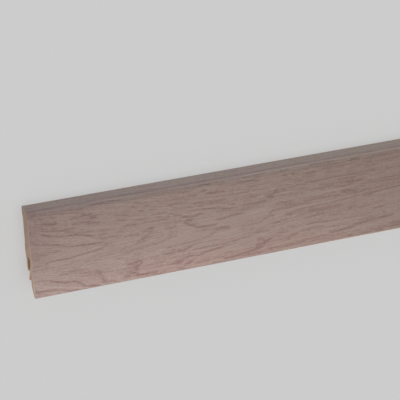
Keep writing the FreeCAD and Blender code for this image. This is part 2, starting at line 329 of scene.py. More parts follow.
# Darker lines and patches of the figure near the left end, in millimetres. Under each strength and half width are
# the paths of its strokes, each as along, down, along, down and so on.
FIGURE = {
    (0.12, 3.2): [(196, 3, 256, 4)],
    (0.12, 4): [(20, 43, 40, 49.5)],
    (0.15, 11): [(4, -5, 5, 15, 5, 30)],
    (0.25, 2.2): [(47, 51.5, 57, 52)],
    (0.3, 0.5): [
        (122, 0.9, 128, 1), (11, 1.2, 15, 2), (5, 49, 11, 49.5), (83, 7, 87, 8), (77, 2.2, 80, 2.8),
        (144, 5.8, 150, 6),
    ],
    (0.3, 0.6): [
        (18.5, 7.8, 24, 8.5), (71.5, 13.5, 76, 14), (61, 34, 65, 34.2), (149, 39.4, 160, 39), (226, 21, 238, 20.6),
        (205, 36.6, 209, 36.8),
    ],
    (0.3, 0.7): [(156, 6, 158.5, 6.2)],
    (0.3, 0.8): [(60, 42.7, 65, 43.2, 70, 43), (161, 8.8, 163.5, 8.5), (46, 27, 48, 28)],
    (0.3, 0.9): [(213, 32.7, 219, 32.4)],
    (0.3, 1.1): [(88, 24, 91, 27, 91.5, 30, 90, 32)],
    (0.3, 1.2): [(178, 34, 183, 33.5), (0, 20, 5, 21.5)],
    (0.3, 1.5): [(36, 50, 41, 51.5)],
    (0.35, 0.6): [(81, 5.2, 86, 5.6, 91, 6.2), (146, 20.6, 159, 20.3)],
    (0.35, 0.8): [
        (128, 21, 134, 21.5, 140, 21.5), (238.5, 9, 240, 11), (236, 35, 240, 35), (204, 38, 209, 38.4),
        (179, 31, 182, 31), (200, 31.4, 203, 31.6),
    ],
    (0.35, 0.9): [
        (189, 31.5, 203, 31.6), (86, 43, 94, 43.5), (131, 42.3, 140, 43), (125, 51, 132, 52.4), (134, 21, 143, 22.2),
        (215, 24.5, 217, 26), (224, 28.5, 224.8, 31),
    ],
    (0.35, 1): [(40, 50.6, 45, 51.5), (89, 33.5, 95, 32.5), (94, 29.6, 97, 28.2), (181, 1.5, 184, 2)],
    (0.35, 1.2): [(1, 28.5, 6, 28.5), (97, 49, 102, 51), (182, 6.8, 188, 7.4)],
    (0.4, 0.5): [
        (126, 8, 135, 8), (3, 0.6, 11, 1.2), (20, 11.8, 25, 11.6), (2.5, 11.5, 4.5, 11.9),
        (31, 17.8, 34, 18.2, 36, 19), (49.5, 25, 51, 25.2), (32.5, 27.5, 36.5, 27.7), (51.5, 18.7, 52.5, 19.8),
        (27, 37, 33, 36.6, 39, 36.8), (41, 38.7, 47, 38.7), (62, 8.8, 66, 9), (74.5, 5.6, 78, 6.2),
        (79, 14.6, 83, 14.7), (127, 15.8, 130.5, 16.1), (139.5, 16.8, 146, 17.3), (175, 16, 184, 15.9, 190, 16.3),
        (136, 49.1, 142, 48.5), (182, 7.5, 188, 7.7),
    ],
    (0.4, 0.6): [
        (230, 1.5, 236, 1.4), (186.5, 55, 192, 55.2), (12, 10.3, 14, 10.8), (3.5, 21.3, 6, 22), (53, 3, 57, 4.2),
        (24, 42.5, 30.5, 42.4), (0, 56.3, 10, 57), (85, 17.8, 88, 19), (110, 49, 114, 48.5), (125, 2.5, 128.5, 2.3),
        (135.5, 8.2, 138, 8.2, 142, 9.2), (165.5, 10.9, 169, 10.7), (166, 12.7, 168.5, 12.5), (140, 40.3, 147, 40.3),
        (162, 54.3, 168, 54), (195, 2.6, 200, 3), (219, 35.1, 226, 34.8), (182, 50.3, 189, 50.6),
        (203, 54, 210, 54.2), (193, 55, 202, 55.4), (120, 7.6, 128, 8),
    ],
    (0.4, 0.7): [
        (137, 37, 147, 36.8), (78, 27.3, 81.5, 26.8), (84.5, 42.5, 90, 42), (217, 42.8, 228, 42.8),
        (190, 46.6, 194, 47), (217, 54, 223, 53.8), (178, 46, 185, 46.6, 194, 46),
    ],
    (0.4, 0.8): [
        (50, 23.8, 57, 25.3), (0, 25.5, 2, 27), (108.5, 27.3, 111, 28.2), (77, 28.5, 78, 30), (144, 22, 149, 21.5),
        (150.5, 22.5, 153.5, 22.3), (171, 23.5, 174, 25), (156.5, 31, 160, 30.8), (221.5, 16.5, 225, 16.8),
        (229.5, 45.4, 233, 45.6), (238.5, 43, 240, 44),
    ],
    (0.4, 0.9): [(210, 47, 215, 49.2)],
    (0.4, 1): [(69, 32.3, 73.5, 31.8), (94, 43, 97, 42.5, 103, 41.5), (214, 25.2, 217, 26.2), (200, 4, 200.8, 6.5)],
    (0.4, 1.2): [(166, 42, 169, 43.5)],
    (0.45, 0.5): [(92, 13.8, 97, 14, 101, 14.5, 107, 14.7, 113, 15)],
    (0.45, 0.6): [(127, 10.9, 138, 10.8, 145, 11.2), (218, 7.7, 223, 7.2, 227, 6.8)],
    (0.45, 0.7): [(180, 45.8, 187, 45.4, 195, 45.3)],
    (0.45, 0.8): [(182, 24.3, 187, 23.9, 194, 23.9)],
    (0.45, 1.8): [(186, 32.5, 190, 33, 208, 32.6)],
    (0.5, 0.45): [(0, 36.3, 9, 35.2), (0, 39, 4, 38, 12, 38.8, 20, 38.3, 27, 37.4, 36, 36.8, 45, 36.9, 52, 36.3)],
    (0.5, 0.5): [
        (0, 27, 3, 27.5, 14, 27.8, 20, 27.7), (0, 24, 3, 23.8), (68, 19.2, 80, 19.3, 86, 19, 89, 20.5),
        (30, 48.7, 35, 48.3, 52, 48.6), (31, 1.6, 36, 1.7), (72, 5.2, 78, 5.9), (81, 17, 86, 17.5, 91, 18.3),
        (66, 16.1, 75, 17), (57, 35.3, 61, 35), (66, 40.4, 71.5, 40.4), (38, 41, 42, 41), (70, 44.7, 82, 44.2),
        (95, 2.8, 100, 3.1, 105, 3), (104, 17.2, 110, 17, 117.5, 17.4), (140, 0.6, 147, 0.5), (169, 3.2, 175, 3.6),
        (204, 7.8, 219, 7.6), (4.5, 4.6, 6.5, 5.4, 9, 6.2), (31, 7.5, 35, 7.8, 38, 9, 40, 9.5),
        (29.5, 11.2, 32.5, 11.4), (18, 14.4, 20, 14.4), (22, 18.8, 28, 19.3, 30.5, 20), (56.5, 37, 60, 37.2),
        (29.5, 49, 33.5, 48.6), (123, 4.4, 131, 4, 141, 4.3), (128.5, 46, 134.5, 46), (219.5, 5.2, 221.5, 5.4),
        (194, 38.4, 198, 37.4, 202, 36.8),
    ],
    (0.5, 0.6): [
        (0, 46.5, 5, 46.6, 11, 47.2), (72, 49.7, 86, 49), (84, 47, 90, 47.2, 105, 46.8), (104, 52, 106, 51.5),
        (223, 56.2, 227, 56), (61, 26.2, 70, 26.8), (72, 51.8, 92, 51.7), (191, 4.4, 199.5, 4.4),
        (206, 18.7, 212, 18.8), (221, 36.7, 229, 36.3), (194.5, 46.8, 206.5, 47), (201, 53.8, 211, 53.6),
        (23, 16, 25, 16.2, 28, 16.5), (11, 34.3, 13, 33.6), (94.5, 22.6, 98.5, 22.3),
        (94, 46.8, 100, 46.8, 105, 46.4), (147, 10.7, 152, 10.8, 157, 11), (127, 12.8, 128.3, 13.3),
        (172, 13.2, 177, 12.8), (171, 6.8, 174, 7.6, 178, 7.5), (160, 46, 165, 46.4), (164, 49.3, 167.5, 49.4),
        (139, 53.6, 144, 53.5), (234, 14.8, 239, 14.3), (228, 34.8, 232, 35.2, 240, 34.9), (229, 48.4, 236, 47.7),
        (180, 56.7, 186, 56.5), (27, 42.2, 30, 43), (14.8, 38, 15.5, 39.3), (49.5, 29.7, 51, 30.3),
    ],
    (0.5, 0.7): [
        (107, 54.2, 115, 53.6, 125, 53.4), (124.5, 51.4, 128, 51, 136, 51.4, 145, 51), (106, 31.5, 116, 32),
        (148, 0.4, 155, 0.2), (221, 46.2, 231, 46), (47.2, 22, 48.8, 22.2), (43, 31.8, 45, 31.9),
        (104.5, 25.5, 108, 26), (84, 47, 88, 47.6), (137, 56, 148, 55.8, 158, 55.5), (44.7, 22.6, 45.2, 24.4),
        (80, 46.8, 89, 47.3), (175.5, 4, 178, 4),
    ],
    (0.5, 0.8): [
        (44, 24.8, 48, 25), (92, 32.5, 89, 33.5, 82, 35, 74, 36, 60, 37.5), (36, 48.5, 41, 49.5, 42, 51),
        (58, 49.3, 63, 49, 67, 48.8), (116.5, 12, 118, 13), (87.5, 22, 90, 23.2),
        (157, 25.2, 161, 25.5, 164, 24.6, 168, 24.3), (170, 31.3, 174, 31, 179, 31.3), (213, 8.8, 215.3, 9),
        (196, 23, 199.5, 22.6), (64, 50.5, 66, 51), (69.5, 45, 70, 47.8), (80, 57.2, 84, 57),
    ],
    (0.5, 1.1): [(17, 44.5, 22, 44.2, 28, 43.7, 30.5, 43, 31, 44.8)],
    (0.5, 1.2): [(9, 7, 12, 7.8, 15, 8.8, 18, 8.2), (224, 28.8, 230, 28.6)],
    (0.5, 1.4): [(150, 46, 154, 47.3)],
    (0.5, 1.5): [(78, 27, 74, 29, 71, 31, 69, 32.5)],
    (0.5, 1.8): [(213, 36.6, 217, 35)],
    (0.6, 0.4): [(26, 39.2, 36, 38.8, 49, 38.7)],
    (0.6, 0.5): [
        (28, 17.3, 33, 17.8, 45, 18.7, 50, 19), (0, 31.8, 5, 31.3), (0, 2.2, 4, 3.6, 10, 4.3),
        (15, 2, 20, 3, 25, 3, 33, 4.2), (40, 0.5, 49, 0.3, 56, 0.3, 60, 0.8), (68, 4.4, 70.5, 4.4),
        (78.5, 11, 82, 11.1), (56.5, 13.4, 60, 13.6), (59, 14.7, 63, 15), (53.5, 40.9, 60, 40.8),
        (92.5, 6.7, 97, 6.8, 109, 6.5), (148, 4.2, 152.5, 4.5), (90, 16, 93, 16.6), (94, 18.3, 98, 18.4),
        (122, 21.2, 128, 20.9), (169, 10.8, 173, 11), (176, 9.6, 181, 9.2), (200, 38.3, 205, 38.7),
        (209.5, 42.9, 216.5, 42.9), (29, 3.3, 32, 3.7, 35, 4.9), (104, 41.6, 108, 41, 114, 40.7, 126, 40.9),
    ],
    (0.6, 0.6): [
        (34, 5, 37, 6.2), (38, 12.8, 45, 13), (0, 28.5, 3, 29.3, 10, 28.8), (0, 12, 3, 12.2),
        (30, 45.8, 35, 46.3, 41, 46.5), (66, 6.8, 69.5, 7), (168, 7.2, 172.5, 7.4), (166, 0.4, 172, 0.2),
        (166, 35.2, 170, 34.8), (158, 36.2, 165.5, 36.4), (195, 17.4, 202, 17), (201.5, 22.2, 204, 22.2),
        (231, 39.5, 239, 39.2), (0, 14.3, 2.5, 13.9), (80.5, 56.8, 86, 56.5), (161.3, 17.6, 162.5, 18),
        (171.5, 41.7, 174.5, 41.5), (230.5, 7.8, 234, 7.2),
    ],
    (0.6, 0.7): [
        (8, 12, 11, 13, 14, 13, 18, 14, 21, 14.5, 30, 13.6), (31.5, 43.9, 35.5, 44.2), (164, 44.3, 170, 44),
        (15.5, 11.6, 19.5, 12), (206, 14, 210, 14.3, 217, 14, 221, 13.6, 226, 12.9),
        (218.5, 21.8, 221, 21.3, 225, 21.8), (75, 29.5, 77, 29.6), (95, 56.2, 97.3, 56.4), (212, 17.7, 213.5, 18),
    ],
    (0.6, 0.8): [
        (108, 12.5, 112, 12.3, 117, 13.5, 127, 13.2), (162.5, 23.7, 164, 22.8, 174, 23), (227.8, 1.5, 229.3, 3.2),
        (230.5, 54.3, 232.5, 55), (140.8, 42.7, 143, 42.9), (123.5, 57.2, 126, 57.2), (200, 7, 202, 7.6),
    ],
    (0.6, 0.9): [
        (46, 55, 49, 55.5, 53, 56), (8, 10.2, 9.5, 11.2), (73, 56, 79, 56.5), (233.5, 56, 238.5, 56.6),
        (118, 56.8, 121, 57),
    ],
    (0.6, 1.3): [(73, 25, 76, 25, 79, 23.8), (61, 51.5, 65, 51.8), (170, 32, 173, 32)],
    (0.7, 0.5): [
        (88, 40, 98, 39, 106, 38.4, 112, 37.7, 118, 37, 120, 35, 122, 33.5), (75, 7.6, 76.5, 7.7),
        (56, 10.6, 62, 11.6, 70, 13), (142.5, 9.3, 145.5, 9.5),
    ],
    (0.7, 0.6): [
        (27, 7.4, 33, 7.3, 37, 6.4, 40, 6.3), (39, 8.2, 44, 8), (39, 9, 44, 9.7), (91, 42, 97, 42.2, 104, 41.8),
        (113, 17, 119, 18, 124, 18.5, 127, 19.8, 133, 20.3, 135, 22, 139, 22.5, 148, 22), (131.5, 16.8, 135, 17.8),
        (184, 42.2, 190, 41.8, 200, 42.8, 206, 42.8), (183, 37.5, 187, 36.9, 190, 36.2, 195, 36.1),
        (184, 11.7, 190, 12.2, 196, 11.7, 203, 11.2, 212, 11.6, 232, 11.5), (176, 16.3, 180, 15.9, 185, 16),
        (167, 14.3, 170, 14.4), (174, 4.3, 178, 4.5), (224, 4.4, 229.5, 5), (237, 1.5, 239.5, 1.5),
        (178, 12.4, 181, 12.2), (225, 8.3, 230, 8.1), (182, 52.8, 192, 52.6, 199.5, 52.7),
    ],
    (0.7, 0.7): [
        (198, 7.7, 203, 7.9), (212, 56.3, 216.5, 56.2), (88, 26.3, 91, 26, 95, 25.8), (162.5, 14.4, 164.5, 14.7),
        (190.5, 52.3, 194, 52.3), (95.5, 42, 98.5, 42.2),
    ],
    (0.7, 0.9): [(227.5, 56, 228.8, 56)],
    (0.7, 1.1): [(121, 33, 126, 32.9, 129.5, 33.6)],
    (0.7, 1.2): [(170, 25, 175, 26, 180, 26, 186, 25.2, 195, 24.6, 206, 25.3)],
    (0.7, 2): [(210, 23, 214, 23.5, 219, 25)],
    (0.8, 0.5): [
        (90, 10.3, 96, 10, 100.5, 10.2), (71.5, 10.6, 73.5, 10.8), (80, 14.6, 84, 14.9, 89, 14.8),
        (144, 7.9, 148.5, 7.7), (144, 14.9, 148, 14.8, 153, 14.7),
    ],
    (0.8, 0.6): [
        (0, 17.5, 3, 20, 6, 21.3, 12, 22, 16, 23.2, 20, 24.3, 24, 26, 33, 26.5, 46, 27.5),
        (7, 14.8, 10, 15.2, 13, 16.5, 17, 17.7, 20, 18.2, 30, 18.7, 37, 20.6, 41, 22.3),
        (28, 11.5, 31, 11.3, 41, 11.6), (15, 54.7, 20, 56.3, 24, 57.3),
        (105, 45, 110, 44.6, 131, 44.3, 136, 43.6, 141, 42.9, 144, 42.2, 150, 40.9, 158, 40.9),
        (116, 6.7, 121, 7.2, 124, 6.8, 129, 8),
        (138, 35, 148, 34.2, 152, 33.6, 155, 32.3, 157, 31, 158, 29, 160, 27.5, 164, 27, 175, 26),
        (112, 0.8, 115, 0.6, 119, 0.7), (167.5, 3.8, 170.5, 4.3), (187, 0.2, 196, 0, 204, 0.2),
    ],
    (0.8, 0.7): [
        (60, 18.8, 66, 19, 69, 19.3), (84, 43.5, 90, 44.2, 95, 43.7, 100, 43.4, 104, 42.3),
        (98, 20, 101, 20.2, 104, 21.2, 108, 21, 112, 20), (122, 26.5, 127, 26.4, 132, 25.4, 140, 25.2),
        (140, 19.5, 147, 19.8, 155, 19.3), (183, 5.4, 190, 5), (213.5, 1.7, 217, 1.5, 221, 0.9),
        (206.5, 4.3, 209.5, 4.5), (177.8, 12.1, 182.5, 12.9),
    ],
    (0.8, 0.8): [
        (170, 49.8, 173, 48, 177, 46.8), (223, 24.4, 229, 24.8), (22, 57.2, 27, 57.5), (106.7, 31.2, 108, 31.4),
    ],
    (0.8, 0.9): [(147, 52.2, 151, 51.8, 153, 50.5)],
    (0.8, 1): [(156.5, 16.5, 160, 17.4, 161, 15.2, 163, 14, 164, 12), (212, 17, 223, 17.2)],
    (0.8, 1.1): [(59, 54.3, 63, 54.7)],
    (0.8, 1.3): [(62, 46.5, 65, 46.5, 69, 45, 70.5, 46.5, 69, 48, 66, 48.5)],
    (0.9, 0.6): [(112.5, 4.4, 115.5, 4.2)],
    (0.9, 0.7): [(138, 2.8, 145, 3.4, 149, 3)],
    (0.9, 0.8): [
        (12, 48.4, 15, 49, 20, 50.4, 27, 51.1, 29, 52.2, 31, 54, 33, 55.5, 42, 56.8),
        (0, 53.5, 3, 54, 10, 54, 15, 54.5),
        (90, 52, 97, 51, 99, 49.5, 102, 48.8, 110, 49.2, 114, 48, 120, 47.3, 128, 46), (95, 56, 98.5, 57),
        (99.5, 54, 102, 53.4, 104, 52.6), (18.8, 24, 20, 25.4),
    ],
    (0.9, 0.9): [
        (105, 22.9, 102, 23.5, 100.7, 24.5, 104, 26.5, 107, 28, 109, 29.3, 121, 29.8),
        (156, 54.5, 165, 54.7, 175, 54.2, 182, 53.5),
    ],
    (0.9, 1): [(200, 50.7, 206, 51.2, 211, 50.3, 216, 49.8, 218, 48.5, 225, 48.2, 232, 47.8, 245, 46.6)],
    (0.9, 1.1): [(63, 52.7, 67, 53.4, 67, 55, 72, 55.5, 80, 55.8), (149, 49.8, 154, 49.5, 158, 47.3)],
    (0.9, 1.2): [(67, 49.5, 66, 50.5, 68, 51.5), (154, 48.3, 157.5, 47.5)],
    (0.9, 1.4): [(41, 47.2, 43, 48, 43.5, 50, 44.5, 52, 45, 54, 46, 55)],
    (0.9, 1.5): [(93, 51.8, 97, 51.2)],
    (1, 0.45): [(9, 35.2, 11, 34.3, 14, 33.9, 24, 34.2, 31, 33, 38, 32.5, 44, 31.6, 51, 29)],
    (1, 0.8): [(126, 55, 135, 54.8, 142, 54, 147, 53.3, 152, 52, 153, 50.5), (126.2, 46.1, 127.8, 45.9)],
}

# Paler streaks and patches of the figure, in the same form.
PALE_FIGURE = {
    (0.1, 9): [(90, 31, 130, 28, 170, 25, 205, 22)],
    (0.15, 0.8): [(6, 13, 9, 13.3)],
    (0.15, 1.3): [(133, 28.5, 150, 29)],
    (0.15, 1.4): [(112, 28, 122, 29)],
    (0.15, 1.5): [(107, 18.5, 119, 21)],
    (0.15, 2): [(0, 48, 8, 51)],
    (0.15, 4): [(100, 36.5, 158, 37)],
    (0.2, 0.7): [
        (0, 35.2, 8, 34.8), (46.5, 7, 50, 9), (64, 11.5, 69, 12.7), (50, 51, 55, 51.2), (175, 38.7, 184, 36.5),
    ],
    (0.2, 0.8): [
        (17, 6.8, 20, 5.5, 27, 5.4, 33, 6), (204, 26, 210, 26.5), (176, 29.2, 190, 28.6),
        (199, 44.4, 212, 44, 223, 44.6),
    ],
    (0.2, 0.9): [(138, 36.5, 160, 37.4)],
    (0.2, 1): [(218, 47, 223, 47)],
    (0.2, 1.2): [(100, 36, 110, 36), (134, 47, 137, 50)],
    (0.2, 1.3): [(63, 22, 75, 24)],
    (0.25, 0.6): [(38.5, 38, 42, 37.8, 47, 37.6)],
    (0.25, 0.7): [(127, 54, 133, 53.6), (104.8, 45, 107, 45)],
    (0.25, 0.8): [(74, 36.2, 77, 36), (205, 17, 206.5, 18)],
    (0.25, 0.9): [
        (55, 1.3, 60, 1.2), (60.5, 25.7, 63, 27), (87.8, 20.5, 88.2, 26), (150, 48.2, 156, 47.5),
        (182, 42.7, 195, 43.3, 197, 45),
    ],
    (0.25, 1.4): [(51, 42.4, 58, 43.4)],
    (0.3, 0.6): [(60, 55.4, 64, 55.4)],
    (0.3, 0.8): [
        (67, 52.3, 74, 52.3), (130, 0.9, 137, 1.9), (95, 20.6, 99, 20.7), (120, 38.5, 121.5, 42),
        (234, 12.8, 239, 12.4), (209, 4.7, 213, 6.2), (197, 12.2, 198.5, 13.5),
    ],
    (0.3, 0.9): [(223, 12, 231, 12.8)],
    (0.35, 0.8): [(99.5, 5, 100.5, 6)],
    (0.35, 0.9): [(147, 51.5, 148, 53)],
    (0.35, 1): [(196, 47.3, 202, 48)],
    (0.35, 1.1): [(146, 16, 148.5, 18)],
    (0.4, 0.6): [(69, 30.2, 71, 30.4), (148.5, 13.4, 157, 13.3)],
    (0.4, 0.7): [(160, 12.5, 164.5, 13.2)],
    (0.4, 0.8): [(51, 21.3, 55, 21.8), (63, 48, 66, 48.1)],
    (0.4, 0.9): [(153, 1.6, 159, 1.1)],
    (0.45, 0.8): [(227, 17, 230, 17.6, 234, 18.4)],
    (0.5, 0.7): [(161.5, 16.8, 172, 17.4)],
    (0.5, 0.8): [(197, 18.2, 200, 19, 203, 19.6), (213, 19.8, 220, 19.3, 226, 18.7)],
    (0.5, 0.9): [(139, 1.6, 149, 2), (153, 43.7, 155.3, 43.5), (187, 26.7, 195, 26.7)],
    (0.6, 0.7): [(175, 14.3, 180, 14.2, 185, 14.9, 192, 15.2)],
    (0.6, 0.8): [(175, 17, 181, 17.5, 184, 18.2, 192, 18.8)],
    (0.6, 1): [(150, 15.6, 154, 15.6)],
}


def listed(figure):
    """The strokes of a figure one by one, each as strength, half width and path."""
    return [(strength, width, path) for (strength, width), paths in figure.items() for path in paths]


def far_figure():
    """More darker strokes of the same kind for the rest of the board: nested loops, and patches between them."""
    random = np.random.default_rng(58)
    strokes = []
    along = FAR_FIGURE_START
    while along < LENGTH:
        middle = random.uniform(12, 46)
        reach = random.uniform(45, 110)
        spread = random.uniform(4, 9)
        side = random.choice([-1.0, 1.0])
        for nest in range(random.integers(2, 5)):
            tip = along + side * nest * random.uniform(16, 26)
            for leg in (-1.0, 1.0):
                path = []
                for part in (0.0, 0.06, 0.2, 0.45, 0.75, 1.0):
                    path.append(tip - side * reach * part)
                    path.append(middle + leg * spread * (1 + 0.5 * nest) * part ** 0.6 + random.normal(0, 0.3))
                strokes.append((random.uniform(0.4, 0.9), random.uniform(0.5, 0.9), path))
        for patch in range(random.integers(2, 6)):
            s = along + random.uniform(-40, 60)
            t = random.uniform(3, 55)
            run = random.uniform(6, 26)
            strokes.append((random.uniform(0.4, 0.9), random.uniform(0.6, 1.8), (s, t, s + run, t + run * 0.04)))
        along += random.uniform(50, 95)
    return strokes


def drawn_strength(strokes, along, down):
    """How strongly strokes mark the decor, 0 to 1, at points given in millimetres along and down the board.

    A stroke fades softly to both sides: to about a third of its strength near its half width, and to nothing
    well within four of them.
    """
    drawn = np.zeros(len(along))
    for strength, width, path in strokes:
        points = np.array(path, float).reshape(-1, 2)
        low = points.min(axis=0) - 4 * width
        high = points.max(axis=0) + 4 * width
        near = np.flatnonzero((along > low[0]) & (along < high[0]) & (down > low[1]) & (down < high[1]))
        if not len(near):
            continue
        here = np.stack([along[near], down[near]], axis=1)
        away = np.full(len(near), 1e9)
        for a, b in zip(points[:-1], points[1:]):
            run = b - a
            part = np.clip((here - a) @ run / (run @ run), 0, 1)
            away = np.minimum(away, np.linalg.norm(here - a - part[:, None] * run, axis=1))
        drawn[near] = np.maximum(drawn[near], strength * np.exp(-(away / (0.9 * width - 0.03)) ** 2))
    return drawn


def grain_slope(along, down):
    """How steeply the grain runs down the front at points along and down it."""
    rows = np.array([np.interp(along, FLOW_ALONG, row) for row in FLOW])
    place = np.interp(down, FLOW_DOWN, range(len(FLOW_DOWN)))
    low = np.minimum(place.astype(int), len(FLOW_DOWN) - 2)
    part = place - low
    every = np.arange(len(along))
    return rows[low, every] * (1 - part) + rows[low + 1, every] * part


def print_decor(piece, section, girth):
    """Gives the foil its figure and its maps: one along and down the board, and two in patches along its grain."""
    mesh = piece.data
    place = np.zeros(len(mesh.vertices) * 3, np.float32)
    mesh.vertices.foreach_get("co", place)
    place = place.reshape(-1, 3)
    along = place[:, 0] / MM + LENGTH / 2
    out = place[:, 2] / MM
    up = place[:, 1] / MM + HEIGHT / 2
    down = np.zeros(len(place))
    # In portions, so that the table of distances stays small.
    for chunk in np.array_split(np.arange(len(place)), PORTIONS):
        gap = np.hypot(out[chunk, None] - section[None, :, 0], up[chunk, None] - section[None, :, 1])
        down[chunk] = girth[gap.argmin(axis=1)]
    figure = mesh.attributes.new("figure", "FLOAT", "POINT")
    dark = drawn_strength(listed(FIGURE) + far_figure(), along, down)
    pale = drawn_strength(listed(PALE_FIGURE), along, down)
    figure.data.foreach_set("value", (dark - pale).astype(np.float32))
    corner = np.zeros(len(mesh.loops), np.int32)
    mesh.loops.foreach_get("vertex_index", corner)
    sides = np.zeros(len(mesh.polygons), np.int32)
    mesh.polygons.foreach_get("loop_total", sides)
    centre = np.zeros(len(mesh.polygons) * 3, np.float32)
    mesh.polygons.foreach_get("center", centre)
    middle = np.repeat(centre[::3] / MM + LENGTH / 2, sides)
    s, t = along[corner], down[corner]
    slope = grain_slope(s, t)
    maps = {"BoardMap": (s, t)}
    for name, shift in (("GrainMapA", 0.0), ("GrainMapB", 0.5)):
        patch = np.floor(middle / PATCH + shift)
        from_middle = s - (patch + 0.5 - shift) * PATCH
        along_step, down_step = [step * (patch + shift) for step in NOISE_STEP]
        maps[name] = (s + along_step, t - slope * from_middle + down_step)
    for name, values in maps.items():
        layer = mesh.uv_layers.new(name=name)
        layer.data.foreach_set("uv", (np.stack(values, axis=1) * MM).astype(np.float32).ravel())


# ---------------------------------------------------------------- finishes


def paint(red, green, blue):
    """Colour as it is seen on a screen, 0 to 255, turned into the renderer's own scale."""
    scaled = [channel / 255 for channel in (red, green, blue)]
    linear = [c / 12.92 if c <= 0.04045 else ((c + 0.055) / 1.055) ** 2.4 for c in scaled]
    return (*linear, 1.0)


# The printed oak: its tones, the two hues its dashes sway between, the warmer hue further along, and the hue of a
# rosy stretch and of the front line.
OAK_DARK = paint(82, 57, 54)
OAK_MIDDLE = paint(115, 95, 87)
OAK_PALE = paint(145, 130, 118)
COOL_DASHES = paint(103, 100, 113)
WARM_DASHES = paint(155, 96, 75)
FURTHER_ALONG = paint(130, 111, 86)
ROSY = paint(165, 102, 88)

# How much of each colour is laid over what is under it, and where the rosy stretch has its middle, in metres along.
DASHES_SHARE = 0.29
FURTHER_SHARE = 0.14
ROSY_SHARE = 0.042
FRONT_LINE_SHARE = 0.11
HIGHLIGHT_LINE_SHARE = 0.62
PAINTED_FOOT_SHADE_SHARE = 0.85
ROSY_AT = 0.13

# Painted highlight on the top edge, painted shade on the foot's bend, worn foil with a painted highlight beside a
# cut, and the foil's paper where it is cut through.
PAINTED_HIGHLIGHT = paint(162, 144, 128)
PAINTED_FOOT_SHADE = paint(73, 56, 52)
WORN_AND_HIGHLIGHT = paint(140, 119, 109)
PAPER = (paint(142, 121, 112), paint(164, 142, 132))

# How far from the wall the middle of the fibreboard's thickness is, in metres. It is darker towards its faces.
BOARD_MIDDLE = 0.008

# The darkest and the palest fibres of the board's sawn ends and of its milled faces.
SAWN = (paint(139, 115, 96), paint(186, 163, 144))
MILLED = (paint(144, 103, 74), paint(190, 149, 114))

# How much each part of the grain, and each line of the bend over the top edge, lightens the decor, or darkens it
# where the number is below zero.
GRAIN = {
    "Lines": 0.16,
    "Fine Lines": 0.19,
    "Streaks": 0.23,
    "Specks": 0.25,
    "Clouds": 0.2,
    "Pores": -0.12,
    "Figure": -0.7,
    # The back and front lines are printed streaks and painted shade on the top edge's rounding, and the pale back is
    # painted light on the top face.
    "Back Line": -0.39,
    "Front Line": -0.12,
    "Pale Back": 0.03,
}


def effect(name, inputs, outputs):
    """Empty shared effect with its inputs (name, kind, value) and the names of its outputs, which are numbers."""
    return new_group(name, "ShaderNodeTree", inputs, [(label, "Float") for label in outputs])


def stretched_noise(tree, vector, scale, detail, roughness, start=(0.0, 0.0, 0.0)):
    """Noise of one size along each axis, as a node output between 0 and 1."""
    sized = add(tree, "ShaderNodeMapping", {"Vector": vector, "Location": start, "Scale": scale})
    noise = add(tree, "ShaderNodeTexNoise", {"Vector": sized, "Scale": 1.0, "Detail": detail, "Roughness": roughness})
    return noise.outputs["Fac"]


def remap(tree, value, low, high, to_low, to_high):
    """Value taken from one range to another, kept within it."""
    node = add(tree, "ShaderNodeMapRange", {
        "Value": value, "From Min": low, "From Max": high, "To Min": to_low, "To Max": to_high})
    return node.outputs[0]


def layered(tree, base, layers):
    """Tone from layers (level, middle, weight), each of which leaves it as it is at its middle level."""
    tone = base - sum(middle * weight for level, middle, weight in layers)
    for level, middle, weight in layers:
        tone = calc(tree, "MULTIPLY_ADD", level, weight, tone)
    return tone


def grain_effect():
    """Oak grain, laid in two overlapping sets of patches: long lines, streaks, specks and short pores."""
    tree, given, result = effect("oak grain", [
        ("Grain A", "Vector", None),
        ("Grain B", "Vector", None),
        ("Share of A", "Float", 0.5),
        ("Streaks Across", "Float", 1700.0),
        ("Streaks Along", "Float", 110.0),
    ], ["Lines", "Fine Lines", "Streaks", "Specks", "Pores"])
    share = given["Share of A"]
    # Two noises that fade into each other lose contrast half way; this keeps it even.
    apart = calc(tree, "MULTIPLY", share, calc(tree, "SUBTRACT", 1.0, share))
    gain = calc(tree, "POWER", calc(tree, "MULTIPLY_ADD", apart, -2.0, 1.0), -0.5)
    size = add(tree, "ShaderNodeCombineXYZ", {"X": given["Streaks Along"], "Y": given["Streaks Across"]})
    for name, scale, detail, start, low, high in (
        ("Lines", (14.0, 800.0, 1.0), 1.0, (6.7, 2.9, 0.0), -0.2, 0.2),
        ("Streaks", size.outputs[0], 2.0, (0.0, 0.0, 0.0), -0.2, 0.2),
        ("Fine Lines", (16.0, 1500.0, 1.0), 0.0, (3.1, 7.4, 0.0), -0.2, 0.2),
        ("Specks", (470.0, 1300.0, 1.0), 1.0, (8.3, 1.7, 0.0), -0.2, 0.2),
        ("Pores", (190.0, 1500.0, 1.0), 0.0, (11.3, 5.9, 0.0), 0.1, 0.24),
    ):
        one = stretched_noise(tree, given["Grain A"], scale, detail, 0.6, start)
        two = stretched_noise(tree, given["Grain B"], scale, detail, 0.6, start)
        both = calc(tree, "MULTIPLY_ADD", calc(tree, "SUBTRACT", one, two), share, two)
        level = calc(tree, "MULTIPLY", calc(tree, "SUBTRACT", both, 0.5), gain)
        feed(tree, result, {name: remap(tree, level, low, high, 0.0, 1.0)})
    return tree


